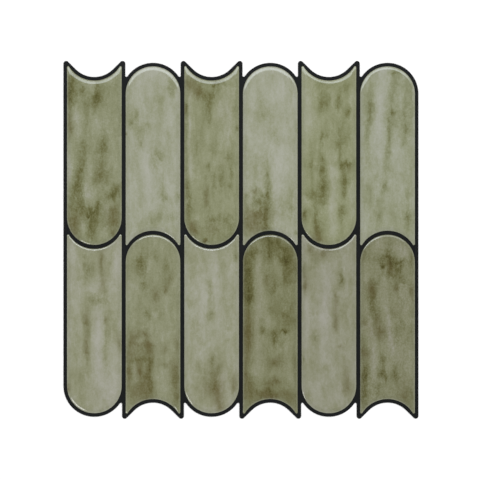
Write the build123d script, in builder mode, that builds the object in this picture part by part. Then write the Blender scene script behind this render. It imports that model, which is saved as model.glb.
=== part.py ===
from build123d import *

import os
from math import cos, radians, sin, sqrt, tan

# Self-adhesive mosaic tile: domed finger tiles on one die-cut black film.
# Millimetres. X runs across the columns, Y along the tiles, Z out of the face.
# The origin is at the middle of the sheet, on its adhesive back.

# Layout of the sheet
columns = 6
rows = 2
grout = 3.2  # film that shows between two tiles
column_stagger = 11.6  # how far a column lies below or above the next one

# A tile, seen from above: one end hollow, the other round
tile_width = 44.8
tile_length = 134.6  # along the middle line, from the hollow end to the round end
hollow_ease = 2.1  # the hollow end's radius is larger by this than the round end's
tile_tip_radius = 0.95

# A tile's edge in section: a quarter ellipse from the film up to the flat top
dome_rise = 1.4
dome_run = 3.6
dome_steps = 3

# The film that carries the tiles, with a horn on each side of a hollow end
film_thickness = 0.6
film_border = 2.9  # film that shows outside the tiles
horn_flare = 44.5  # degrees: how steeply the hollow's rim runs out, straight, to the horns
horn_tip_radius = 2.2
notch_radius = 1.0

# Sizes that follow from those above
round_radius = tile_width / 2
hollow_radius = round_radius + hollow_ease
bite_radius = hollow_radius - film_border
column_pitch = tile_width + grout
row_pitch = tile_length + grout
column_length = rows * tile_length + (rows - 1) * grout
film_radius = round_radius + film_border  # of a column's round end, and half its width


def facing(column):
    """1 where the hollow ends of a column point to +Y, and -1 where its round ends do."""
    return 1 if column % 2 == 0 else -1


def column_place(column):
    """The middle of a column on the sheet's back, turned the way that it faces."""
    across = (column - (columns - 1) / 2) * column_pitch
    along = -facing(column) * column_stagger / 2
    return Plane(origin=(across, along, 0), x_dir=(facing(column), 0, 0), z_dir=(0, 0, 1))


def tile_seat(column, row):
    """The plane on the film where a tile's middle lies, turned the way that its column faces."""
    along = ((rows - 1) / 2 - row) * row_pitch
    middle = Vector(column_place(column).origin) + Vector(0, along, film_thickness)
    return Plane(origin=middle, x_dir=(facing(column), 0, 0), z_dir=(0, 0, 1))


def dome_levels():
    """Each level of a tile's edge, as how far in from the outline and how high above the film."""
    for step in range(dome_steps + 1):
        turn = radians(90 * step / dome_steps)
        yield dome_run * (1 - cos(turn)), dome_rise * sin(turn)


def tile_section(plane, inset):
    """A tile's outline on a plane, drawn in by an even margin."""
    half_width = round_radius - inset
    hollow_centre = tile_length / 2 + hollow_radius
    hollow_floor = tile_length / 2 - inset
    round_centre = round_radius - tile_length / 2
    tip = hollow_centre - sqrt((hollow_radius + inset) ** 2 - half_width**2)
    with BuildSketch(plane) as section:
        with BuildLine():
            Line((-half_width, round_centre), (-half_width, tip))
            ThreePointArc((-half_width, tip), (0, hollow_floor), (half_width, tip))
            Line((half_width, tip), (half_width, round_centre))
            ThreePointArc(
                (half_width, round_centre),
                (0, round_centre - half_width),
                (-half_width, round_centre),
            )
        make_face()
        fillet(section.vertices().group_by(Axis.Y)[-1], tile_tip_radius)
    return section


# One column of the film: a strip with a round end, and a flared bite that leaves two horns
column_round_centre = round_radius - column_length / 2
bite_centre = column_length / 2 + hollow_radius
flare_across = bite_radius * sin(radians(horn_flare))
flare_along = bite_centre - bite_radius * cos(radians(horn_flare))
horn_point = flare_along + (film_radius - flare_across) * tan(radians(horn_flare))
with BuildSketch() as film_column:
    with BuildLine():
        Line((-film_radius, column_round_centre), (-film_radius, horn_point))
        Line((-film_radius, horn_point), (-flare_across, flare_along))
        ThreePointArc(
            (-flare_across, flare_along),
            (0, bite_centre - bite_radius),
            (flare_across, flare_along),
        )
        Line((flare_across, flare_along), (film_radius, horn_point))
        Line((film_radius, horn_point), (film_radius, column_round_centre))
        ThreePointArc(
            (film_radius, column_round_centre),
            (0, column_round_centre - film_radius),
            (-film_radius, column_round_centre),
        )
    make_face()
    fillet(film_column.vertices().group_by(Axis.Y)[-1], horn_tip_radius)

# The whole film, with the notches eased where a horn meets the next column's round end:
# those are the corners that no column has by itself
placed_columns = [film_column.sketch.moved(column_place(column).location) for column in range(columns)]
own_corners = [corner for placed in placed_columns for corner in placed.vertices()]
with BuildPart() as film:
    with BuildSketch() as film_outline:
        add(placed_columns)
        notches = [
            corner
            for corner in film_outline.vertices()
            if min(corner.distance_to(own) for own in own_corners) > notch_radius / 10
        ]
        fillet(notches, notch_radius)
    extrude(amount=film_thickness)
film.part.label = "backing_film"

os.makedirs("parts", exist_ok=True)
export_step(film.part, "parts/backing_film.step")

# The tiles, one solid each
for row in range(rows):
    for column in range(columns):
        seat = tile_seat(column, row)
        with BuildPart() as tile:
            for inset, height in dome_levels():
                add(tile_section(seat.offset(height), inset).sketch)
            loft(ruled=True)
        name = f"tile_row_{row + 1}_column_{column + 1}"
        tile.part.label = name
        export_step(tile.part, f"parts/{name}.step")
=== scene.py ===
import math

import bmesh
import bpy
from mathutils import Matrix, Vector


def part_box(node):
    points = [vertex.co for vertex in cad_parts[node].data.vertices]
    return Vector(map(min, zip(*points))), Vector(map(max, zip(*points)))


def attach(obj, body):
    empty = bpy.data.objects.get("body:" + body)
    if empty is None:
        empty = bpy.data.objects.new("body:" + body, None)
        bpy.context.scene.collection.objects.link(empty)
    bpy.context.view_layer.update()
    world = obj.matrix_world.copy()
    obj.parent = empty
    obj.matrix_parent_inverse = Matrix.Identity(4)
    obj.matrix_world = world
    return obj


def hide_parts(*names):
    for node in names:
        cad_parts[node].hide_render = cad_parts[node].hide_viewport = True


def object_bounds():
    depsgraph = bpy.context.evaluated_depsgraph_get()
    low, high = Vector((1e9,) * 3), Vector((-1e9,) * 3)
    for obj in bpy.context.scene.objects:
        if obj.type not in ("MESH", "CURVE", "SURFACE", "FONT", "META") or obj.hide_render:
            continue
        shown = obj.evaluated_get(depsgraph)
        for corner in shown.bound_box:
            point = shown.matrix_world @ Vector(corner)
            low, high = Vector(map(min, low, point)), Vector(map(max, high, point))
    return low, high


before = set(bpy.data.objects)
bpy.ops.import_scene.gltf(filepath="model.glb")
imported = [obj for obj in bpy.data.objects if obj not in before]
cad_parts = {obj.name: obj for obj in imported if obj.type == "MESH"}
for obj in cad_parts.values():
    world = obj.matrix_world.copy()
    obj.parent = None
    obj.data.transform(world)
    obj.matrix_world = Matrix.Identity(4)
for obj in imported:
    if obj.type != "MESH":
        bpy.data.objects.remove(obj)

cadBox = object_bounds()
mm = 0.001


def tone(red, green, blue):  # an 8-bit screen colour as the linear one that a socket takes
    def linear(level):
        share = level / 255
        return share / 12.92 if share <= 0.04045 else ((share + 0.055) / 1.055) ** 2.4

    return (linear(red), linear(green), linear(blue), 1)


class Wire:  # a value's socket, so that sums on it add Math nodes
    def __init__(self, paint, socket):
        self.paint = paint
        self.socket = socket

    def math(self, operation, first, second):
        return self.paint.node("ShaderNodeMath", {"operation": operation}, {0: first, 1: second})

    def __add__(self, other):
        return self.math("ADD", self, other)

    def __radd__(self, other):
        return self.math("ADD", other, self)

    def __sub__(self, other):
        return self.math("SUBTRACT", self, other)

    def __rsub__(self, other):
        return self.math("SUBTRACT", other, self)

    def __mul__(self, other):
        return self.math("MULTIPLY", self, other)

    def __rmul__(self, other):
        return self.math("MULTIPLY", other, self)


class Paint:  # a node tree that is being filled
    def __init__(self, tree):
        self.tree = tree
        tree.nodes.clear()

    def node(self, kind, settings={}, sockets={}, output=0):
        made = self.tree.nodes.new(kind)
        for name, value in settings.items():
            if name == "stops":
                self.setStops(made.color_ramp, value)
            else:
                setattr(made, name, value)
        for name, value in sockets.items():
            if isinstance(value, Wire):
                self.tree.links.new(value.socket, made.inputs[name])
            else:
                made.inputs[name].default_value = value
        return Wire(self, made.outputs[output]) if made.outputs else None

    def setStops(self, ramp, stops):
        while len(ramp.elements) < len(stops):
            ramp.elements.new(1)
        for element, (position, colour) in zip(ramp.elements, stops):
            element.position = position
            element.color = colour

    def vector(self, operation, first, second):
        return self.node("ShaderNodeVectorMath", {"operation": operation}, {0: first, 1: second})

    def mix(self, factor, first, second, blend="MIX"):
        # By number, because a Mix node's colour sockets share their names with others
        settings = {"data_type": "RGBA", "blend_type": blend}
        return self.node("ShaderNodeMix", settings, {0: factor, 6: first, 7: second}, 2)

    def noise(self, place, scale, detail, roughness, output="Fac"):
        # scale is in features per metre, one for each axis
        stretched = self.vector("MULTIPLY", place, scale)
        sockets = {"Vector": stretched, "Scale": 1, "Detail": detail, "Roughness": roughness}
        return self.node("ShaderNodeTexNoise", {}, sockets, output)

    def smooth(self, value, low, high, bottom=0.0, top=1.0):
        sockets = {"Value": value, "From Min": low, "From Max": high, "To Min": bottom, "To Max": top}
        return self.node("ShaderNodeMapRange", {"interpolation_type": "SMOOTHSTEP"}, sockets)


def newMaterial(name):
    material = bpy.data.materials.new(name)
    material.use_nodes = True
    return material, Paint(material.node_tree)


# The glazed tiles

tileShape = {
    "hollowEase": 2.1 * mm,  # the hollow end's radius is larger by this than the round end's
    "tipRadius": 0.95 * mm,
    "domeRun": 3.6 * mm,  # how far in the rounded edge reaches
    "domeRings": 12,
    "topMargin": 0.4 * mm,  # a flat ring that keeps the edge's shading off the top
    "sideSteps": 30,
    "tipSteps": 6,
    "hollowSteps": 52,
    "roundSteps": 64,
}


def arcPoints(centre, radius, start, end, steps):  # leaves out its last point
    turns = [start + (end - start) * step / steps for step in range(steps)]
    return [(centre[0] + radius * math.cos(turn), centre[1] + radius * math.sin(turn)) for turn in turns]


def linePoints(start, end, steps):  # leaves out its last point
    shares = [step / steps for step in range(steps)]
    return [tuple(a + (b - a) * share for a, b in zip(start, end)) for share in shares]


def tileOutline(halfWidth, hollowFloor, roundEnd, inset):
    # Counter-clockwise from the right side's lower end, with the hollow end up
    shape = tileShape
    side = halfWidth - inset
    tip = shape["tipRadius"]
    hollow = halfWidth + shape["hollowEase"] + inset
    hollowCentre = (0, hollowFloor + halfWidth + shape["hollowEase"])
    roundCentre = (0, roundEnd + halfWidth)
    tipX = side - tip
    tipY = hollowCentre[1] - math.sqrt((hollow + tip) ** 2 - tipX**2)
    tipTurn = math.atan2(hollowCentre[1] - tipY, -tipX)  # from the tip's centre to the hollow's
    return (
        linePoints((side, roundCentre[1]), (side, tipY), shape["sideSteps"])
        + arcPoints((tipX, tipY), tip, 0, tipTurn, shape["tipSteps"])
        + arcPoints(hollowCentre, hollow, tipTurn - math.pi, -tipTurn, shape["hollowSteps"])
        + arcPoints((-tipX, tipY), tip, math.pi - tipTurn, math.pi, shape["tipSteps"])
        + linePoints((-side, tipY), (-side, roundCentre[1]), shape["sideSteps"])
        + arcPoints(roundCentre, side, math.pi, 2 * math.pi, shape["roundSteps"])
    )


def glazedTile(node, name, faces):
    # A smooth tile in the place of the node; faces is 1 where the hollow end points to +Y
    low, high = (Vector(corner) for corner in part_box(node))
    shape = tileShape
    halfWidth = (high.x - low.x) / 2
    hollow = halfWidth + shape["hollowEase"]
    tip = shape["tipRadius"]
    tipDrop = math.sqrt((hollow + tip) ** 2 - (halfWidth - tip) ** 2)
    length = high.y - low.y - tip + tipDrop - hollow  # from the round end to the hollow floor
    rise = high.z - low.z
    rings = []
    for ring in range(shape["domeRings"] + 1):
        turn = math.pi / 2 * ring / shape["domeRings"]
        rings.append((shape["domeRun"] * (1 - math.cos(turn)), rise * math.sin(turn)))
    rings.append((shape["domeRun"] + shape["topMargin"], rise))

    middle = low.y + length / 2 if faces > 0 else high.y - length / 2
    mesh = bpy.data.meshes.new(name)
    built = bmesh.new()
    rim = built.verts.layers.float.new("rim")  # 0 on the top, 1 down at the film
    loops = []
    for inset, height in rings:
        outline = tileOutline(halfWidth, length / 2, -length / 2, inset)
        loops.append([built.verts.new((faces * x, faces * y, height)) for x, y in outline])
        for vertex in loops[-1]:
            vertex[rim] = 1 - min(1, inset / shape["domeRun"])
    for lower, upper in zip(loops, loops[1:]):
        for index in range(len(lower)):
            after = (index + 1) % len(lower)
            built.faces.new((lower[index], lower[after], upper[after], upper[index]))
    built.faces.new(loops[-1])
    built.faces.new(loops[0][::-1])
    for face in built.faces:
        face.smooth = True
    for index, vertex in enumerate(loops[0]):
        built.edges.get((vertex, loops[0][index - 1])).smooth = False
    built.to_mesh(mesh)
    built.free()

    tile = bpy.data.objects.new(name, mesh)
    tile.location = ((low.x + high.x) / 2, middle, low.z)
    bpy.context.collection.objects.link(tile)
    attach(tile, "root")
    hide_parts(node)
    return tile


# The glaze: depth 0 is where it lies thin and pale, 1 where it has run together deep and olive

glaze = {
    "shades": [
        (-0.2, tone(178, 179, 167)),
        (0.0, tone(167, 169, 152)),
        (0.28, tone(147, 150, 122)),
        (0.5, tone(131, 134, 102)),
        (0.75, tone(112, 112, 75)),
        (1.0, tone(94, 93, 54)),
        (1.2, tone(81, 77, 41)),
    ],
    "umber": tone(104, 92, 60),
    "umberShare": 1.1,
    # a painted highlight: the rounded edge is mixed towards this paler tone, in place of light catching
    # the rim
    "edge": tone(158, 162, 136),
    "edgeFrom": 0.55,  # how far out on the rounded edge the painted highlight begins
    "edgeShare": 0.15,
    "veil": (1, 0.985, 1.03, 1),  # thin glaze is a little greyer
    "veilAt": 0.3,  # how thin it is where the veil is full
    "spread": 3.4,  # a mark fades out at this many times its written size
    "seedStep": (0.37, 0.53, 0.11),  # how far apart two tiles lie in the noise, in metres
    "noise": {  # features per metre along x, y and z, then detail and roughness
        "drift": ((110, 60, 60), 2, 0.5),
        "fineDrift": ((480, 240, 60), 2, 0.5),
        "runs": ((240, 50, 60), 3, 0.55),
        "fineRuns": ((620, 150, 60), 2, 0.5),
        "cloud": ((90, 55, 60), 3, 0.55),
        "mottle": ((340, 250, 60), 3, 0.6),
        "speckle": ((760, 700, 60), 2, 0.6),
        "grain": ((1500, 1500, 60), 2, 0.6),
        "swell": ((90, 45, 60), 2, 0.5),
        "peel": ((700, 700, 60), 2, 0.5),
    },
    "noiseMean": 0.5,
    "wander": {  # how far a noise pushes the marks about
        "drift": (4 * mm, 10 * mm, 0),
        "fineDrift": (2.2 * mm, 6 * mm, 0),
    },
    "inMarks": {"runs": 0.6, "mottle": 0.9, "speckle": 0.8, "less": 0.3},  # what breaks up the marks
    "clouding": {"runs": 0.35, "cloud": 0.45, "mottle": 0.3},
    "fine": {"fineRuns": 0.14, "speckle": 0.3, "grain": 0.2},
    "roughness": (0.05, 0.12),
    "coat": (0.45, 1),  # on the flat top and on the rounded edge
    "coatReach": 0.15,  # how far out on the edge it is full
    "peelShare": 0.12,
    "bumpStrength": 0.25,
    "bumpHeight": 0.25 * mm,
}

# A mark is x, y, half width and half length, in millimetres from the tile's middle as the sheet is
# seen, then its depth and, where it leans, the degrees that its upper end leans to the right.
# Olive and umber marks deepen the glaze, and pale ones thin it.
tileGlazes = {
    "row_1_column_1": {
        "base": 0.34,
        "tint": tone(255, 255, 252),
        "grain": 1.3,
        "olive": [
            (-19.5, 58, 3.2, 8, 0.5), (-19.5, 50, 3, 6, 0.2), (-19, 67, 3, 5, 0.3),
            (-9.5, 58.5, 1.8, 2.2, 0.65), (3.5, 60, 1.8, 4, 0.3, 8), (1.7, 54, 2.5, 3.5, 0.5, 10),
            (0.8, 47.5, 2, 3.5, 0.45), (-7, 49.5, 2, 2, 0.25), (-6, 35, 1.8, 9, 0.22),
            (-10, 7, 2.6, 7, 0.22, 5), (-9.5, 15, 1.5, 4, 0.15), (7.2, 15, 2.2, 7, 0.35, 5),
            (7, 11.5, 2.2, 3, 0.3), (7.5, -2, 3, 9, 0.26, 4), (5, -11, 4, 5, 0.3),
            (-11.3, -6, 3, 4.5, 0.4, 6), (-12.6, -14, 3.2, 6, 0.4, 6), (-13.6, -21, 3.2, 5, 0.5),
            (-14, -30, 4, 5, 0.35), (-11, -37, 5, 4, 0.35), (15.5, -25, 2.2, 6, 0.45, 52),
            (20, -19.5, 2.4, 3, 0.35, 30), (14.5, -27, 2.6, 1.8, 0.25), (3.3, -33.5, 2, 3, 0.4, 20),
            (0.3, -40, 3, 4, 0.55, 8), (-1, -48, 2.2, 5, 0.45, 8), (-3, -56, 2.2, 4, 0.4, 8),
            (-5.5, -42.5, 1, 1, 0.8), (-6, -38, 5, 3, 0.15), (-3, -62, 5, 3, 0.2),
            (0, -50, 20, 16, 0.1),
        ],
        "umber": [
            (5, -9, 3.5, 8, 0.1), (-19.5, 28, 2, 4, 0.3), (-20, 37, 1.5, 5, 0.2),
            (-16.5, -46, 4, 4.5, 0.3), (-17, -55, 3, 5, 0.3), (15.5, -39, 3.5, 3, 0.25),
            (16, -48, 4, 4.5, 0.33), (15.5, -57.4, 1.2, 1.5, 0.3),
        ],
        "pale": [
            (-2, 63, 6, 2.5, 0.18), (-15, 38, 3, 5, 0.2), (4, 32, 6, 5, 0.15),
            (-13.5, 24, 2.5, 6, 0.15), (-20, -10, 1.8, 12, 0.25), (-5, -10, 2.2, 10, 0.15, 4),
            (-4.5, -26, 3.5, 5, 0.25), (14, 8, 4, 12, 0.12), (9.5, -37, 2.2, 6, 0.2),
            (-9.5, -53, 2, 4, 0.2), (8.5, -57, 3, 4, 0.15),
        ],
    },
    "row_1_column_2": {
        "base": 0.11,
        "tint": tone(255, 255, 253),
        "grain": 0.9,
        "olive": [
            (14.5, 49.5, 2.2, 3.5, 0.55), (14.5, 44.5, 1.8, 1.5, 0.2), (5.5, 40, 3, 10, 0.12),
            (4.5, 44, 1.5, 4, 0.12), (-5, 57, 4, 4, 0.08), (-18.5, 33, 3.5, 12, 0.19),
            (-13.2, 27.5, 1.6, 2.5, 0.3), (-19, 20, 3.5, 4, 0.32), (-12, 17.5, 4, 1.2, 0.1),
            (-4.2, 18.8, 2.5, 3, 0.32), (-10.8, 13, 2.2, 2.5, 0.26), (-10, 5.5, 2, 3, 0.34),
            (12.5, 13, 2, 3, 0.12), (4.3, -2, 2, 3, 0.26), (6.6, -6, 1.8, 2.2, 0.42),
            (3, -10, 2.5, 4, 0.12), (1, -14.5, 2.4, 3, 0.3), (-13, -14.5, 1.4, 4, 0.12),
            (13.5, -11.5, 2, 3, 0.1), (7.5, -33, 2, 6, 0.18), (10, -40.5, 1.8, 2.6, 0.42),
            (9, -50, 1.5, 6, 0.1), (20.5, -39.5, 1.4, 2, 0.5), (15.5, -56.5, 2.4, 2.5, 0.28),
            (2, -58, 4, 2, 0.25), (-5, -63, 4, 2, 0.12), (0, -60, 20, 8, 0.06),
        ],
        "umber": [(-22, 11, 0.8, 1.2, 0.5)],
        "pale": [
            (0, 62, 6, 4, 0.12), (-15, 4, 3, 6, 0.12), (-7, -3, 2.5, 14, 0.12),
            (-3, -30, 3.5, 14, 0.14), (15, 27, 3, 8, 0.1), (-11, 52, 5, 5, 0.1), (15, -25, 3, 8, 0.1),
        ],
    },
    "row_1_column_3": {
        "base": 0.33,
        "tint": tone(255, 255, 249),
        "grain": 1,
        "olive": [
            (-7, 54.5, 2.5, 4.5, 0.3, -50), (-2.5, 50, 2.2, 3, 0.4), (-1.8, 43, 1.6, 4.5, 0.35),
            (-1.5, 36, 1.6, 3, 0.15), (4, 64.5, 7, 1.5, 0.5), (2, 58, 4, 4, 0.35),
            (-21, 46, 1.5, 3.5, 0.4), (-21.3, 30, 1.2, 14, 0.4), (-21, -7, 1.3, 5, 0.35),
            (-19, -27, 2, 7, 0.4), (-19.3, -20, 2, 4, 0.25), (-18.5, -36, 2.5, 5, 0.3),
            (-18, -45, 2.5, 5, 0.25), (21, 28, 1, 1.2, 0.6), (-12.5, 38, 5, 12, 0.08),
            (-13, 11, 3, 7, 0.15), (2.2, 12.5, 1.8, 4.5, 0.25), (14.3, 5.5, 2.5, 3, 0.33),
            (19, 45, 1.2, 3, 0.2), (17, 16, 1, 4, 0.15), (-2.7, -2.6, 0.9, 1.8, 1),
            (1.7, -15, 1.3, 6, 0.32), (2.5, -22, 1.5, 2, 0.15), (7, -6, 2, 3, 0.12),
            (8.2, -14.5, 1.5, 4, 0.25), (10, -18, 2, 3, 0.15), (16.3, -9, 1, 6, 0.35),
            (15.8, -20, 1, 3, 0.3), (-5.2, -16.5, 1.4, 3.5, 0.18), (1, -46.5, 3, 1.8, 0.4),
            (11.5, -46, 3.5, 2, 0.3), (3, -52, 8, 6, 0.12), (18, -55, 4, 6, 0.25),
            (19, -42, 1.5, 5, 0.2), (8, -62, 7, 3, 0.12), (21, 60, 1.2, 8, 0.2),
            (-5, -63.2, 1.3, 1.1, 0.5),
        ],
        "umber": [
            (-19, 64, 4, 4, 0.4), (-11, 58, 3, 3.5, 0.4, -35), (-15, -53, 2.5, 3, 0.4),
            (-13.5, -57.5, 2.5, 2, 0.35), (-5, -63.2, 1.3, 1.1, 0.4), (-4.5, -26.5, 1.2, 4.5, 0.3),
            (-5, -33, 1, 2, 0.2), (1, -54, 4, 4, 0.2),
        ],
        "pale": [
            (-17.8, 32, 1.3, 20, 0.26), (-17, -4, 2.5, 8, 0.2), (7, 45, 4, 10, 0.16),
            (14, 42, 3.5, 14, 0.18), (14, 18, 3, 6, 0.08), (8, 0, 3, 4, 0.1), (-4, 18, 2, 4, 0.08),
            (19, 62, 2, 6, 0.15), (-11, -45, 3, 5, 0.08),
        ],
    },
    "row_1_column_4": {
        "base": 0.1,
        "tint": tone(255, 255, 253),
        "grain": 0.9,
        "olive": [
            (-7.5, 40, 2.2, 5, 0.22), (-7, 27, 2, 3, 0.28), (1, 28, 2, 4, 0.2), (1.5, 22, 2, 3, 0.08),
            (3, 12.5, 2.5, 3, 0.2), (5, 7, 2, 2.5, 0.22), (2, 59, 2.5, 4, 0.08),
            (-5.5, -12.5, 2, 3, 0.14), (-2.4, -21.5, 1.4, 4.5, 0.4), (-2, -30, 1.3, 4, 0.3),
            (-1.8, -36, 1.6, 5, 0.4), (-3, -48, 2.5, 8, 0.4), (-2.5, -60, 2.5, 8, 0.45),
            (-7, -37, 4, 2.5, 0.3), (-11, -42, 2.8, 4, 0.35), (-8, -44, 4, 4, 0.3),
            (-19.5, -40, 1.8, 2, 0.35), (-20, -47, 2, 5, 0.15), (-10, -58, 8, 8, 0.32),
            (-12, -20, 7, 9, 0.12), (-3, -67, 3, 3, 0.3), (17.5, -42, 1.5, 5, 0.18),
            (18.5, -50, 2, 4, 0.25), (18, -56, 2, 4, 0.15), (20, -62, 1.5, 4, 0.15),
            (21.5, -68.5, 1, 1.5, 0.6), (9, -45, 4, 5, 0.15), (11, -53, 4, 5, 0.1),
            (-20.5, -3, 1, 8, 0.12),
        ],
        "umber": [
            (-12.8, -34.2, 1.6, 1, 0.4), (-10, -54.5, 8, 3, 0.28), (-15.5, -61, 5.5, 6, 0.3),
            (-10, -66, 6, 4, 0.2),
        ],
        "pale": [
            (-15.5, -41, 2, 3.5, 0.15), (0, 62, 8, 4, 0.1), (10, 48, 5, 8, 0.12),
            (8, -8, 5, 10, 0.12), (6, -30, 3, 8, 0.12), (5, -52, 2.5, 8, 0.12),
            (-15, 10, 3, 10, 0.08), (12, 15, 3, 8, 0.08),
        ],
    },
    "row_1_column_5": {
        "base": 0.31,
        "tint": tone(254, 255, 246),
        "grain": 1,
        "olive": [
            (-3.5, 50, 2.8, 4, 0.35), (-6, 59, 4.5, 6, 0.16), (-4.5, 44, 2.5, 3, 0.25),
            (8.3, 53, 1.6, 4, 0.4), (7.5, 46.5, 1.8, 3, 0.4), (15.3, 41, 1.8, 2.2, 0.7),
            (13.5, 61, 2.5, 3.5, 0.22), (9.5, 34, 4, 3, 0.15), (9.5, 26, 4.5, 6, 0.2),
            (13, 20, 4, 5, 0.12), (-2, 25.5, 2.5, 3, 0.12), (-1.8, 20.8, 1.2, 1.4, 0.3),
            (-6.3, 21, 0.9, 2, 0.35), (-6.3, 16, 1.2, 5, 0.35), (7.8, 14, 2.2, 4, 0.35),
            (9.3, 7.5, 1.2, 4, 0.4), (14, 0, 5.5, 1.7, 0.48), (12, -3, 2.5, 2.5, 0.35),
            (12.2, -10.5, 1.6, 4, 0.4), (13.5, -16, 2.8, 3, 0.42), (12, -22, 1.5, 3, 0.4),
            (11.6, -26.5, 1.3, 2.5, 0.45), (10.8, -38.5, 1.6, 2.2, 0.65), (10.8, -42, 1.8, 1.5, 0.5),
            (10.6, -48, 1.4, 3, 0.22), (9.5, -58, 2, 4, 0.12), (-5.2, 2.5, 1.7, 2, 0.55),
            (-5, -6, 2.2, 3, 0.55), (-4.6, -13, 2, 3, 0.35), (-5, -19, 2.4, 3.5, 0.45),
            (-4.8, -26, 2.6, 4, 0.45), (-4, -33, 2.5, 3, 0.25), (-14, 2, 1.8, 6, 0.2),
            (-14.5, -5, 2.5, 4, 0.15), (-15, -24, 4, 4, 0.25), (-13.5, -26.5, 2.5, 2, 0.3),
            (-11, -37, 1.4, 6, 0.3), (-11, -46, 1.2, 4, 0.25), (-9.8, -52, 1.8, 3, 0.45),
            (-20, -43, 1.8, 2.8, 0.55), (-5, -46, 3, 6, 0.12), (0, 63, 8, 1.5, 0.15),
        ],
        "umber": [(16, -4, 3, 2, 0.18), (-10, -58, 2.4, 4, 0.36), (-8, -62.5, 4, 2, 0.32)],
        "pale": [
            (3, -5, 3, 16, 0.16), (3, -32, 3, 18, 0.18), (3.5, -54, 3, 10, 0.12),
            (3, 53, 1.6, 9, 0.18), (-17.5, 52, 4.5, 16, 0.22), (-15.5, 33, 4, 6, 0.15),
            (18.5, -30, 2.5, 10, 0.18), (-18.5, -33, 2, 4, 0.15), (-9.5, -8, 1.4, 8, 0.12),
            (19, 50, 2, 6, 0.12),
        ],
    },
    "row_1_column_6": {
        "base": 0.18,
        "tint": tone(254, 255, 254),
        "grain": 0.9,
        "olive": [
            (-13.8, 45, 1.8, 5, 0.28, 4), (-14, 36, 2.4, 4, 0.36, 6), (-14.4, 28, 2.4, 5, 0.36, 6),
            (-16, 20, 1.6, 5, 0.32, 8), (-16.8, 11, 1.3, 5, 0.35), (-16.8, 1.5, 1.5, 3, 0.2),
            (-16, -10, 2, 6, 0.1), (6.5, 62.5, 3, 1.8, 0.55), (7, 55, 2.6, 5, 0.25),
            (5, 48, 2.2, 4, 0.2), (4, 40, 2.5, 5, 0.25), (4, 30.5, 1.5, 1.5, 0.5), (4, 27, 4, 5, 0.3),
            (2.2, 20.5, 2.8, 4, 0.28), (0.8, 11, 1.8, 5, 0.3), (0.2, 2.5, 1.5, 4, 0.25),
            (0.3, -4, 1.8, 1.6, 0.35), (-0.6, -12, 1.8, 5, 0.28), (-0.8, -19, 1.5, 3, 0.15),
            (-2.3, -29.5, 1.6, 2.5, 0.6), (-2.5, -34.5, 2.2, 1.5, 0.22), (14.5, 27, 2.8, 5, 0.42),
            (17.5, 36, 2.5, 6, 0.28), (15, 45, 2, 6, 0.12), (19, 49, 1.5, 5, 0.18),
            (15, 16, 2, 3, 0.35), (14, 9.5, 2.2, 4, 0.32), (13.5, 4, 1.8, 1.5, 0.2),
            (8, 18, 4, 5, 0.1), (16.8, -56, 2.4, 4, 0.55), (17, -46, 1.6, 6, 0.2),
            (17.5, -34, 1.6, 5, 0.15), (17, -64, 1.8, 4, 0.2), (-6, -57, 2, 4.5, 0.34),
            (6.5, -56, 2, 4, 0.15), (-15, -32, 3, 4, 0.18), (-13, -40, 1.5, 3, 0.15),
            (-8, -43, 2, 2.5, 0.24), (-15.5, -46, 3, 3, 0.1), (11, -19, 1.5, 2, 0.12),
        ],
        "umber": [],
        "pale": [
            (-3, 62, 4, 4, 0.15), (-5, 43, 3.5, 14, 0.13, 3), (-7.5, 20, 3, 14, 0.15, 5),
            (-8, -5, 4, 10, 0.1), (8, -5, 3, 8, 0.1), (10, 40, 1.5, 8, 0.06), (12, -30, 3, 8, 0.06),
            (-19, -63, 2, 3, 0.1),
        ],
    },
    "row_2_column_1": {
        "base": 0.2,
        "tint": tone(255, 253, 252),
        "grain": 0.8,
        "olive": [
            (-3.5, 58, 2.5, 6, 0.25), (-3.8, 51, 2.5, 3.5, 0.26), (-8, 56, 2, 5, 0.15),
            (-10, 64, 2.5, 1.5, 0.2), (6.3, 49, 1.5, 5, 0.2), (7.3, 31.5, 2.2, 2.5, 0.2),
            (12.8, 57, 1.8, 5, 0.2), (-7, 43, 5, 4, 0.15), (-1, 25, 2.5, 2.5, 0.28),
            (2.5, 24, 5, 2.5, 0.28), (9, 22.5, 4, 2.5, 0.24), (9, 30, 3, 3, 0.1),
            (-5.8, 19, 1.8, 3, 0.2), (-6.8, 7.5, 1.2, 1.5, 0.2), (-6, -1, 1.5, 5, 0.22),
            (-6, -25, 2, 4, 0.15), (-5.5, -33, 2, 4, 0.1), (8.8, -3, 1.5, 6, 0.15),
            (8.8, -12, 1.2, 6, 0.14), (9, -22, 1.2, 5, 0.1), (10, 14, 2, 2, 0.12),
            (14.5, 5, 5, 8, 0.12), (13, -1, 3, 3, 0.12), (-15, -2, 2.2, 3.5, 0.18),
            (-16, -18, 3, 5, 0.1), (-11.5, -38, 2.5, 6, 0.06), (-11, -52, 1.5, 5, 0.15),
            (-9, -57, 2, 4, 0.15), (-8.5, -62.5, 2.2, 1.5, 0.26), (8.5, -57.5, 1, 1, 0.2),
        ],
        "umber": [
            (-21, -46, 1.1, 1.3, 0.53), (20.3, -9.5, 1.6, 4.5, 0.25), (6, 58, 1.6, 7, 0.28),
            (7, 38, 1.8, 4, 0.26), (-6.3, 11, 1.6, 4.5, 0.29), (-6.2, -10, 1.6, 5, 0.28),
            (-5.8, -17.5, 1.8, 3, 0.29), (9.2, 7.5, 1.5, 2.5, 0.26), (4, -50, 14, 14, 0.05),
        ],
        "pale": [
            (2.5, 8, 2.8, 9, 0.2), (3, -10, 2.6, 10, 0.16), (4, -25, 3, 8, 0.18),
            (5, -40, 6, 8, 0.12), (5, -55, 9, 6, 0.14), (15, -50, 5, 8, 0.12), (17, -32, 4, 12, 0.12),
            (18, 55, 3, 14, 0.18), (-17, 50, 3, 18, 0.16), (4.5, 45, 1.6, 3, 0.15),
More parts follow.
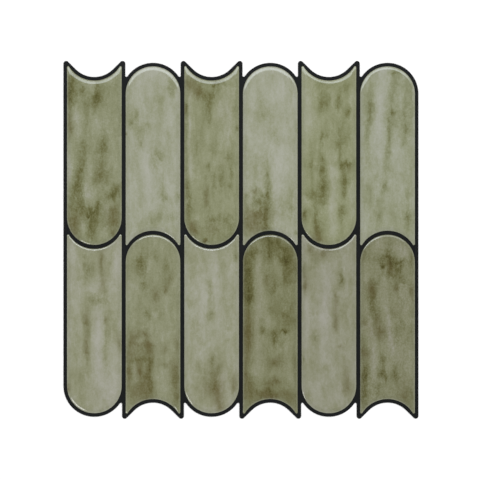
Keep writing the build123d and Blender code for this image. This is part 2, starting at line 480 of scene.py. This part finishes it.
            (-5, 34, 7, 2.5, 0.1), (13, 38, 4, 5, 0.08), (15, -14, 3, 4, 0.08),
        ],
    },
    "row_2_column_2": {
        "base": 0.36,
        "tint": tone(254, 253, 251),
        "grain": 1.2,
        "olive": [
            (-11.5, 44, 3.6, 4, 0.36), (-8.3, 42, 2, 4, 0.41), (-8, 36, 2.2, 3, 0.29),
            (-8, 27, 1.7, 2.2, 0.59), (-8, 23, 1.2, 1.6, 0.25), (-3, 51.5, 3, 2.5, 0.15),
            (2, 55, 3, 4, 0.12), (1.7, 48.5, 1.5, 2, 0.2), (10, 46, 1.2, 3, 0.15),
            (10, 40, 1.5, 2.2, 0.38), (9.5, 32, 3, 4, 0.12), (-5.3, 3, 2, 3, 0.32),
            (-1.5, 0, 3, 1.5, 0.15), (5.2, 2.5, 1.5, 2.5, 0.2), (0, 7, 3, 1.5, 0.12),
            (-11, -35, 8, 1.3, 0.38), (-2, -37, 1.8, 3, 0.36), (-2.7, -43, 1.7, 4, 0.45),
            (-3, -50.5, 1.6, 4, 0.36), (-2.3, -59, 2.3, 5, 0.27), (-11, -55.5, 3, 2, 0.2),
            (18.8, -48.5, 1.8, 4, 0.2), (18.2, -57, 2.2, 5, 0.2), (19.5, -66, 2, 5, 0.2),
        ],
        "umber": [
            (14, 31, 2, 3, 0.15), (10.7, 23.5, 1.3, 2.4, 0.32), (2.7, 18.5, 2, 3.2, 0.32),
            (-6.5, -14.5, 3, 1.5, 0.32), (-15, -17.5, 2.2, 3, 0.27), (-17.5, -19, 1.5, 3, 0.2),
            (-11, -23, 7, 1, 0.22), (-5.5, -19, 1.5, 3, 0.2), (-2, -24.5, 1.8, 3, 0.41),
            (-17.5, -29, 2.5, 3, 0.27), (-8, -29, 6, 3, 0.12), (-2.5, -47, 2, 14, 0.15),
            (-11.5, -42, 1.6, 4, 0.41), (-10.5, -46.5, 1.2, 1.5, 0.27), (-19.3, -42, 1.8, 4, 0.27),
            (-20.3, -52, 1.2, 5, 0.2), (-14, -62, 6, 5, 0.25), (-8, -60, 5, 8, 0.18),
            (-6.5, -50, 2, 5, 0.15), (19.5, -22, 2, 5, 0.2), (18, -42, 3, 5, 0.22),
            (18.5, -58, 3, 12, 0.15), (10, -27, 1.8, 2.2, 0.2), (9, -39, 4, 1.5, 0.16),
            (-10, -38, 10, 16, 0.08),
        ],
        "pale": [
            (-16, 25, 3.5, 10, 0.12), (-3.5, 40, 3, 5, 0.1), (9, -13, 6, 7, 0.12),
            (-15.5, -41, 1.5, 4, 0.2), (-15, -52, 2.8, 4, 0.15), (-7, -44, 1, 3, 0.1),
            (9, -57, 4, 7, 0.15), (4.5, -26, 2.5, 5, 0.1), (10, -47, 3, 3, 0.1),
            (1.7, 3, 1.5, 1.8, 0.15), (-10.5, -20, 2.5, 1.5, 0.1),
        ],
    },
    "row_2_column_3": {
        "base": 0.18,
        "tint": tone(255, 253, 253),
        "grain": 0.8,
        "olive": [
            (18, 69, 2, 3, 0.2), (19.7, 60.5, 2, 2, 0.35), (20.5, 55, 1.2, 4, 0.15),
            (8, 64, 4, 3, 0.12), (9, 56, 3, 5, 0.12), (-6, 60.5, 2.5, 4, 0.15),
            (-14.5, 48, 3, 5, 0.08), (-1.7, 38, 1.5, 3.5, 0.2), (-1.8, 29, 1, 6, 0.25),
            (-1.5, 20, 1.4, 3, 0.15), (-0.6, 13.7, 2, 2, 0.35), (-0.5, 10, 2, 1.5, 0.15),
            (-16.5, 31.5, 1.2, 1.5, 0.15), (-16.3, 22, 2, 3, 0.2), (-14.6, 6, 2, 6, 0.16),
            (9.8, 26, 1.5, 5, 0.12), (13, 13, 2, 6, 0.1), (12.5, 2, 2.5, 3, 0.12),
            (13.6, -6, 1.4, 1.4, 0.26), (-2.5, -8, 3, 2, 0.08), (7, -12, 2, 2, 0.1),
            (1.5, -22, 2.2, 2, 0.2), (0.5, -26, 1.5, 3, 0.2), (7, -20, 2.5, 3, 0.12),
            (7.3, -29.5, 2, 3, 0.25), (2, -33, 2.8, 4, 0.26), (2.5, -40, 3, 4, 0.26),
            (-0.5, -42, 1.5, 2, 0.2), (1.5, -47, 2.2, 2.5, 0.26), (-6.7, -38.5, 2, 5, 0.2),
            (-5, -52, 2.5, 4, 0.15), (-12, -46, 3, 4, 0.1), (-10, -28, 2.5, 4, 0.1),
            (15.7, -37, 1.6, 4, 0.2),
        ],
        "umber": [
            (5.5, -48, 2.8, 6, 0.28), (6, -57, 2.8, 6, 0.28), (7.3, -62, 2, 2.5, 0.25),
            (-4, -47.5, 3.5, 3, 0.22), (18, -41, 1.8, 4, 0.25), (18.2, -47.5, 1.6, 2.5, 0.26),
            (4, -36, 4, 8, 0.12), (2, -45, 12, 13, 0.08),
        ],
        "pale": [
            (4, 35, 3, 12, 0.1), (-8, 12, 4, 14, 0.1), (3, 58, 1.6, 8, 0.1), (-10, 35, 3, 8, 0.05),
            (7, 10, 2.5, 8, 0.08), (-19, -5, 2, 6, 0.1), (-2, -62, 4, 2.5, 0.12),
            (10, -42, 2, 6, 0.1), (-19, -40, 2, 8, 0.06),
        ],
    },
    "row_2_column_4": {
        "base": 0.45,
        "tint": tone(243, 241, 235),
        "grain": 1.4,
        "olive": [
            (-18.5, 40, 3, 6, 0.45), (-19, 48, 2.5, 3, 0.3), (-18.5, 29, 3, 7, 0.5),
            (-18.8, 20, 3, 4, 0.45), (-17.8, 13, 2.5, 3.5, 0.5), (-14.5, 54, 3.2, 2.8, 0.65),
            (-1, 57, 3.5, 5, 0.5), (-3, 63, 6, 2, 0.35), (-0.5, 50, 3, 2.5, 0.35), (9, 58, 4, 3, 0.3),
            (12.5, 55.5, 3.5, 3, 0.4), (4.5, 61, 3, 2.5, 0.25), (12.5, 46.5, 2, 2, 0.75),
            (9, 48, 3, 3, 0.25), (16, 50, 4, 4, 0.25), (14, 41, 3, 4, 0.35), (15, 35, 3.5, 4, 0.3),
            (13, 30, 4, 3, 0.22), (21, 40, 1.2, 4, 0.3), (-2.5, 36, 2.5, 3, 0.15),
            (4.3, 26, 1.5, 3.5, 0.3, 15), (2, 20.5, 1.3, 4, 0.22, 10), (0, 6.8, 1.2, 1.5, 0.25),
            (15, 16, 4, 5, 0.12), (12, 8, 5, 5, 0.1), (14, 1, 4, 3, 0.22), (13, -4, 4, 3, 0.18),
            (-7.3, -4, 1.6, 2.5, 0.25), (-7, -11.3, 1.4, 1.6, 0.6), (11.5, -10.8, 1.8, 0.9, 0.95),
            (4.6, -12.5, 1.3, 3, 0.45), (4.6, -18, 1.3, 3, 0.5), (1, -12, 3, 1.2, 0.2),
            (10, -21, 2, 2, 0.2), (-0.5, -61.5, 2, 1.2, 0.75),
        ],
        "umber": [
            (-18.5, 2, 2.5, 3.5, 0.3), (-18.5, -7, 2.8, 5, 0.3), (-18, -15, 3, 5, 0.28),
            (-18.5, -25, 2.5, 6, 0.3), (-19.5, -38, 2, 8, 0.2), (-19.8, -48.5, 1.6, 3, 0.3),
            (-18, -57, 2.5, 4, 0.2), (-3, 30, 2, 3, 0.25), (4, -34, 3, 2, 0.25),
            (3.5, -38, 4, 3, 0.22), (5, -53, 3.5, 1.5, 0.3), (-1, -56, 3, 2, 0.2),
            (1, -64.5, 7, 2, 0.45), (-6, -63, 3, 2, 0.25), (-18, -64, 3.5, 5, 0.2),
            (17, -66, 4, 5, 0.22), (20, -38, 1.5, 8, 0.15),
        ],
        "pale": [
            (-9.5, 42, 2.6, 10, 0.2), (-9.5, 25, 3, 10, 0.16), (-9, 7, 3.5, 8, 0.22),
            (-11, -8, 2, 8, 0.15), (-9, -28, 4, 10, 0.2), (-12, -45, 3, 6, 0.18),
            (-2, -4, 2, 5, 0.15), (14, -25, 4, 6, 0.15), (5, -47, 4, 3, 0.12), (7, 38, 2, 5, 0.12),
            (17, -48, 2.5, 6, 0.15), (12, -40, 3, 5, 0.1), (19.5, 48, 1.5, 6, 0.1),
            (-8.5, 57, 1.6, 5, 0.1),
        ],
    },
    "row_2_column_5": {
        "base": 0.18,
        "tint": tone(243, 240, 240),
        "grain": 0.7,
        "olive": [
            (-14, 63, 4, 3, 0.15), (-9, 59, 5, 3, 0.12), (14, 63, 4, 5, 0.1), (8.5, 52, 1.5, 4, 0.12),
            (9, 45, 1.6, 2.5, 0.3), (10.5, 40, 1.5, 3, 0.75), (7.5, 35, 1.5, 4, 0.12),
            (12, 15, 6, 14, 0.08), (-17, 51, 4, 4, 0.1), (-14, 33, 4, 5, 0.08),
            (-13.5, 13.5, 2, 3, 0.14), (-11, -6.3, 1.8, 3.5, 0.3), (8, -21, 1.8, 3, 0.15),
            (-21.2, -23, 0.8, 3, 0.3), (-12, -26, 3, 2, 0.2), (-4.5, -31, 3, 2, 0.18),
            (-4.5, -50, 1.5, 6, 0.12), (-16.5, -52.5, 1.5, 4, 0.15), (0, -64, 5, 1.5, 0.1),
        ],
        "umber": [
            (-4, 63.5, 3.5, 2, 0.3), (-1, 66, 5, 1, 0.2), (-15.5, 68, 2, 3, 0.3),
            (5.8, 28, 1, 4, 0.2), (5.2, 20, 1.2, 6, 0.2), (5.3, 8, 1.4, 4, 0.3), (5, 3, 1.2, 2, 0.2),
            (-20, 42, 1.8, 6, 0.3), (-19.8, 36.5, 1.5, 2, 0.25), (9.5, -13.5, 1.8, 1.2, 0.2),
            (14.5, -37.5, 1.8, 4, 0.25), (14.8, -47, 2.4, 4, 0.35), (14, -27, 1.8, 5, 0.1),
        ],
        "pale": [
            (-1, 42, 3, 10, 0.14), (-3, 25, 3.5, 10, 0.15), (-4, 8, 3.5, 8, 0.15),
            (-18.5, 18, 2.2, 12, 0.14), (-17, 0, 2.5, 8, 0.12), (-2, -6, 3, 4, 0.08),
            (15, -17, 3, 4, 0.08), (2, -57, 6, 4, 0.05),
        ],
    },
    "row_2_column_6": {
        "base": 0.39,
        "tint": tone(237, 234, 231),
        "grain": 1.8,
        "olive": [
            (1.2, 62, 1.5, 4, 0.27), (-0.2, 54, 1.1, 4, 0.25), (-1, 47.5, 3, 3, 0.32),
            (-5, 46, 3, 2, 0.28), (4, 42, 5, 4, 0.28), (6, 44.5, 4, 1.5, 0.32),
            (10, 45, 4, 1.2, 0.41), (9.5, 39.5, 1.2, 2.2, 0.41, 60), (4, 37, 2, 4, 0.36, 60),
            (3, 33.5, 3.5, 2, 0.27), (-4.4, 41.6, 1.1, 1.1, 1.08), (-12, 28.5, 2.2, 2.5, 0.27),
            (-13.8, 17, 2.4, 3, 0.32), (-12.8, 12, 2.2, 4, 0.32), (-12, 6, 2.2, 3, 0.32),
            (-10.5, 1, 1.6, 3, 0.25), (13.5, 29.5, 1.8, 3.5, 0.32, -50), (11, 32, 1.5, 2, 0.25),
            (6.8, 27.5, 1.2, 2, 0.27), (19.5, 49, 1.8, 4, 0.27), (20, 43, 1.2, 4, 0.2),
            (10, -6.5, 2, 3, 0.27), (7.3, -12, 1.6, 3, 0.27), (8.5, -20, 1.5, 3, 0.2),
            (-20, -29, 1.6, 6, 0.27), (-18.8, -42, 2.5, 4, 0.41), (-18, -49, 2.6, 4, 0.41),
            (-17.8, -57, 2.5, 5, 0.41), (-19, -66, 2.2, 4, 0.45), (-4.3, -33, 1.5, 2.2, 0.41),
            (-3.8, -39, 1.2, 3, 0.25), (-4.6, -46.5, 2.2, 2.5, 0.45), (-1.2, -51, 1.1, 2.5, 0.41),
            (-8.5, -57, 2, 2.5, 0.41), (-9, -62.5, 3, 1.2, 0.27), (6, -47.5, 1.6, 3, 0.27),
            (8, -51, 2, 2, 0.25), (18.5, -62, 1.5, 4, 0.22), (-17.5, 52, 2.5, 4, 0.2),
        ],
        "umber": [
            (1.8, 40.5, 2, 3, 0.32), (-14, 24, 2.6, 3, 0.32), (-11.5, 21, 2, 4, 0.22),
            (-8.5, -2.5, 2.2, 3, 0.22), (-6.8, -11.5, 4, 3.5, 0.36), (7, 23.5, 1.4, 2.2, 0.32),
            (20.2, 21, 1.5, 3.5, 0.32), (-18.8, -5.5, 2, 3, 0.28), (-18.3, -31, 2.5, 3, 0.32),
            (13, -64.5, 3, 2.5, 0.32), (14, -55, 3, 4, 0.15), (6, 2, 2.5, 3, 0.15),
        ],
        "pale": [
            (-6, 58, 4, 4, 0.15), (6, 56, 3.5, 4, 0.15), (14, 52, 3.5, 5, 0.18),
            (-16.5, 5, 2, 8, 0.15), (-13.5, -12, 2.2, 8, 0.2, -8), (-12.5, -32, 2.5, 10, 0.2),
            (-11.5, -50, 1.8, 8, 0.15), (0, 0, 1.6, 8, 0.2, -4), (2, -16, 2.4, 6, 0.22, -8),
            (5, -24, 3, 5, 0.18), (14, 18, 4, 8, 0.15), (-3, 22, 3, 8, 0.12), (14, 5, 4, 6, 0.1),
            (15, -30, 4, 8, 0.12), (8, -34, 3, 4, 0.12), (16, -45, 3, 6, 0.1),
        ],
    },
}


def glazeMarks(paint, place, marks):
    # Each mark is a soft ellipse of its depth, and they add up
    reach = glaze["spread"] * mm
    total = 0
    for x, y, halfWidth, halfLength, depth, *lean in marks:
        sockets = {
            "Vector": place,
            "Location": (x * mm, y * mm, 0),
            "Rotation": (0, 0, -math.radians(sum(lean))),
            "Scale": (halfWidth * reach, halfLength * reach, 1),
        }
        inMark = paint.node("ShaderNodeMapping", {"vector_type": "TEXTURE"}, sockets)
        kind = {"gradient_type": "QUADRATIC_SPHERE"}
        ball = paint.node("ShaderNodeTexGradient", kind, {"Vector": inMark}, "Fac")
        total = ball * depth + total
    return total


def glazeMaterial(name, recipe, seed):
    material, paint = newMaterial("glaze_" + name)
    noise = glaze["noise"]
    mean = glaze["noiseMean"]
    shift = tuple(step * seed for step in glaze["seedStep"])
    place = paint.node("ShaderNodeTexCoord", output="Object")
    seeded = paint.vector("ADD", place, shift)

    # The marks' edges wander the way that run glaze does
    drifted = place
    for kind, reach in glaze["wander"].items():
        wander = paint.noise(seeded, *noise[kind], "Color")
        centred = paint.vector("SUBTRACT", wander, (mean, mean, mean))
        drifted = paint.vector("ADD", drifted, paint.vector("MULTIPLY", centred, reach))
    runPlace = paint.vector("ADD", drifted, shift)

    runs = paint.noise(runPlace, *noise["runs"])
    fineRuns = paint.noise(runPlace, *noise["fineRuns"])
    cloud = paint.noise(runPlace, *noise["cloud"])
    mottle = paint.noise(runPlace, *noise["mottle"])
    speckle = paint.noise(seeded, *noise["speckle"])
    grain = paint.noise(seeded, *noise["grain"])

    # How deep the glaze lies
    umber = glazeMarks(paint, drifted, recipe["umber"])
    marks = glazeMarks(paint, drifted, recipe["olive"]) + umber
    part = glaze["inMarks"]
    broken = part["runs"] * runs + part["mottle"] * mottle + part["speckle"] * speckle - part["less"]
    run = marks * broken
    thin = glazeMarks(paint, drifted, recipe["pale"]) * (mean + runs)
    part = glaze["clouding"]
    clouding = (
        (runs - mean) * part["runs"]
        + (cloud - mean) * part["cloud"]
        + (mottle - mean) * part["mottle"]
    )
    part = glaze["fine"]
    fine = (
        (fineRuns - mean) * part["fineRuns"]
        + (speckle - mean) * part["speckle"]
        + (grain - mean) * part["grain"]
    )
    depth = run - thin + clouding + fine * recipe["grain"] + recipe["base"]

    # Its colour there
    low, high = glaze["shades"][0][0], glaze["shades"][-1][0]
    stops = [((level - low) / (high - low), colour) for level, colour in glaze["shades"]]
    share = (depth - low) * (1 / (high - low))
    colour = paint.node("ShaderNodeValToRGB", {"stops": stops}, {"Fac": share}, "Color")
    colour = paint.mix(umber * glaze["umberShare"], colour, glaze["umber"])
    colour = paint.mix(1, colour, recipe["tint"], "MULTIPLY")
    colour = paint.mix(paint.smooth(thin, 0, glaze["veilAt"]), colour, glaze["veil"], "MULTIPLY")
    rim = paint.node("ShaderNodeAttribute", {"attribute_name": "rim"}, output="Fac")
    # Painted highlight: the rounded edge is mixed towards a paler tone, standing in for the light that
    # catches it
    edge = paint.smooth(rim, glaze["edgeFrom"], 1, 0, glaze["edgeShare"])
    colour = paint.mix(edge, colour, glaze["edge"])

    smoothest, roughest = glaze["roughness"]
    coatOnTop, coatOnEdge = glaze["coat"]
    swell = paint.noise(seeded, *noise["swell"])
    peel = paint.noise(seeded, *noise["peel"])
    bump = paint.node(
        "ShaderNodeBump",
        {},
        {
            "Height": swell + peel * glaze["peelShare"],
            "Strength": glaze["bumpStrength"],
            "Distance": glaze["bumpHeight"],
        },
    )
    shader = paint.node(
        "ShaderNodeBsdfPrincipled",
        {},
        {
            "Base Color": colour,
            "Roughness": smoothest + (roughest - smoothest) * cloud,
            "IOR": 1.5,
            "Specular IOR Level": 0.08,
            "Coat Weight": paint.smooth(rim, 0, glaze["coatReach"], coatOnTop, coatOnEdge),
            "Coat IOR": 2.0,
            "Coat Roughness": 0.08,
            "Normal": bump,
        },
    )
    paint.node("ShaderNodeOutputMaterial", {}, {"Surface": shader})
    return material


for seed, (name, recipe) in enumerate(tileGlazes.items()):
    column = int(name[-1])
    tile = glazedTile("tile_" + name, "glazed_tile_" + name, 1 if column % 2 else -1)
    tile.data.materials.append(glazeMaterial(name, recipe, seed + 1))
print("glazed tiles made:", len(tileGlazes))


# The backing film

film = {
    "black": tone(26, 28, 28),
    "worn": tone(31, 33, 34),
    "wornAt": (0.45, 0.8),  # the scuff's levels where wear begins and is full
    "adhesive": tone(52, 53, 52),
    "adhesiveShare": (0.6, 0.4),  # all over, and along its weave
    "backTurn": (-0.5, -0.9),  # how far down a face points where the back begins and is full
    "backGloss": 0.25,  # the back is smoother by this
    "roughness": (0.55, 0.75),
    "noise": {  # features per metre along x, y and z, then detail and roughness
        "grain": ((2200, 2200, 2200), 2, 0.6),
        "scuff": ((45, 60, 60), 4, 0.6),
        "weave": ((300, 900, 60), 1, 0.5),
    },
    "scuffShare": 0.5,
    "bumpStrength": 0.3,
    "bumpHeight": 0.05 * mm,
}


def filmMaterial():
    material, paint = newMaterial("film_matte_black")
    noise = film["noise"]
    place = paint.node("ShaderNodeTexCoord", output="Object")
    grain = paint.noise(place, *noise["grain"])
    scuff = paint.noise(place, *noise["scuff"])
    colour = paint.mix(paint.smooth(scuff, *film["wornAt"]), film["black"], film["worn"])
    normal = paint.node("ShaderNodeTexCoord", output="Normal")
    facing = paint.node("ShaderNodeSeparateXYZ", {}, {"Vector": normal}, "Z")
    back = paint.smooth(facing, *film["backTurn"])
    weave = paint.noise(place, *noise["weave"])
    allOver, alongWeave = film["adhesiveShare"]
    colour = paint.mix(back * (allOver + alongWeave * weave), colour, film["adhesive"])
    smoothest, roughest = film["roughness"]
    rough = smoothest + (roughest - smoothest) * scuff
    bump = paint.node(
        "ShaderNodeBump",
        {},
        {
            "Height": grain + film["scuffShare"] * scuff,
            "Strength": film["bumpStrength"],
            "Distance": film["bumpHeight"],
        },
    )
    shader = paint.node(
        "ShaderNodeBsdfPrincipled",
        {},
        {
            "Base Color": colour,
            "Roughness": rough - film["backGloss"] * back,
            "Specular IOR Level": 0.1,
            "Normal": bump,
        },
    )
    paint.node("ShaderNodeOutputMaterial", {}, {"Surface": shader})
    return material


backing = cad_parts["backing_film"]
backing.data.materials.clear()
backing.data.materials.append(filmMaterial())
print("backing film dressed")


# Floor, light and camera

studio = {
    "floorSize": 8.0,
    "floorDrop": 0.2 * mm,  # below the film, so that the two faces don't meet
    "floorColour": (0.82, 0.82, 0.82, 1),
    "floorGlow": 0.3,  # to the camera and in the gloss only
    "fill": 0.82,  # the world's light on the object
    "skyLow": 0.6,  # what the gloss mirrors near the horizon
    "skyHigh": 0.08,  # and overhead
    "skyFade": (0.2, 0.9),  # the heights that lie between, as shares of straight up
}


def studioFloor():
    mesh = bpy.data.meshes.new("floor")
    half = studio["floorSize"] / 2
    corners = [(-half, -half, 0), (half, -half, 0), (half, half, 0), (-half, half, 0)]
    mesh.from_pydata(corners, [], [(0, 1, 2, 3)])
    floor = bpy.data.objects.new("floor", mesh)
    floor.location.z = cadBox[0][2] - studio["floorDrop"]
    bpy.context.collection.objects.link(floor)
    material, paint = newMaterial("floor_white")
    camera = paint.node("ShaderNodeLightPath", output="Is Camera Ray")
    glossy = paint.node("ShaderNodeLightPath", output="Is Glossy Ray")
    seen = paint.mix(camera + glossy, (0, 0, 0, 1), (1, 1, 1, 1))
    shader = paint.node(
        "ShaderNodeBsdfPrincipled",
        {},
        {
            "Base Color": studio["floorColour"],
            "Roughness": 0.9,
            "Specular IOR Level": 0,
            "Emission Color": seen,
            "Emission Strength": studio["floorGlow"],
        },
    )
    paint.node("ShaderNodeOutputMaterial", {}, {"Surface": shader})
    mesh.materials.append(material)


def studioWorld():
    world = bpy.data.worlds.new("studio")
    world.use_nodes = True
    bpy.context.scene.world = world
    paint = Paint(world.node_tree)
    camera = paint.node("ShaderNodeLightPath", output="Is Camera Ray")
    glossy = paint.node("ShaderNodeLightPath", output="Is Glossy Ray")
    direction = paint.node("ShaderNodeTexCoord", output="Generated")
    up = paint.node("ShaderNodeSeparateXYZ", {}, {"Vector": direction}, "Z")
    mirrored = paint.smooth(up, *studio["skyFade"], studio["skyLow"], studio["skyHigh"])
    strength = camera + glossy * mirrored + (1 - camera - glossy) * studio["fill"]
    sky = paint.node("ShaderNodeBackground", {}, {"Color": (1, 1, 1, 1), "Strength": strength})
    paint.node("ShaderNodeOutputWorld", {}, {"Surface": sky})


# Metres, watts and degrees. A card is a lamp that only the gloss shows.
coolWhite = (0.86, 0.93, 1)
lamps = {
    "key": {
        "place": (0.5, 0.6, 1.4),
        "aim": (0, 0, 0),
        "size": (0.9, 0.9),
        "power": 6.0,
        "colour": (1, 1, 1),
        "spread": 180,
        "card": False,
    },
    "topCardHigh": {  # the bands' inner line at the left, and the lower row's bands
        "place": (-0.07, 0.187, 0.21),
        "aim": (-0.07, 0, 0.21),
        "size": (0.3, 0.14),
        "power": 0.25,
        "colour": coolWhite,
        "spread": 180,
        "card": True,
    },
    "topCard": {  # the pale bands on the upper row's ends
        "place": (0, 0.265, 0.1),
        "aim": (0, 0.265, 0),
        "size": (0.6, 0.18),
        "power": 0.21,
        "colour": coolWhite,
        "spread": 120,  # keeps it off the flat tops in a low view
        "card": True,
    },
    "topCardFar": {  # the flanks of the bands on both rows
        "place": (0, 0.4, 0.4),
        "aim": (0, 0, 0.1),
        "size": (1.0, 0.28),
        "power": 1.05,
        "colour": coolWhite,
        "spread": 180,
        "card": True,
    },
    "glint": {  # on the rims that face the lower left
        "place": (-0.25, -0.27, 0.18),
        "aim": (-0.1, -0.1, 0),
        "size": (0.12, 0.1),
        "power": 0.125,
        "colour": (1, 1, 1),
        "spread": 180,
        "card": True,
    },
}


def studioLamp(name, lamp):
    data = bpy.data.lights.new(name, "AREA")
    data.shape = "RECTANGLE"
    data.size, data.size_y = lamp["size"]
    data.energy = lamp["power"]
    data.color = lamp["colour"]
    data.spread = math.radians(lamp["spread"])
    made = bpy.data.objects.new(name, data)
    made.location = lamp["place"]
    made.rotation_euler = (Vector(lamp["aim"]) - made.location).to_track_quat("-Z", "Y").to_euler()
    made.visible_camera = False
    made.visible_glossy = lamp["card"]
    made.visible_diffuse = not lamp["card"]
    bpy.context.collection.objects.link(made)


view = {
    "lens": 135,
    "sensor": 36,
    "field": 393.1 * mm,  # the width of floor that the picture takes in
    "nudge": (-0.77 * mm, -0.14 * mm),  # the sheet lies a little right of and above the middle
}


def studioCamera():
    data = bpy.data.cameras.new("camera")
    data.lens = view["lens"]
    data.sensor_width = view["sensor"]
    camera = bpy.data.objects.new("camera", data)
    height = view["field"] * view["lens"] / view["sensor"]
    camera.location = (view["nudge"][0], view["nudge"][1], height)
    bpy.context.collection.objects.link(camera)
    bpy.context.scene.camera = camera


studioFloor()
studioWorld()
for name, lamp in lamps.items():
    studioLamp(name, lamp)
studioCamera()
bpy.context.scene.view_settings.view_transform = "Standard"
print("floor, light and camera set")
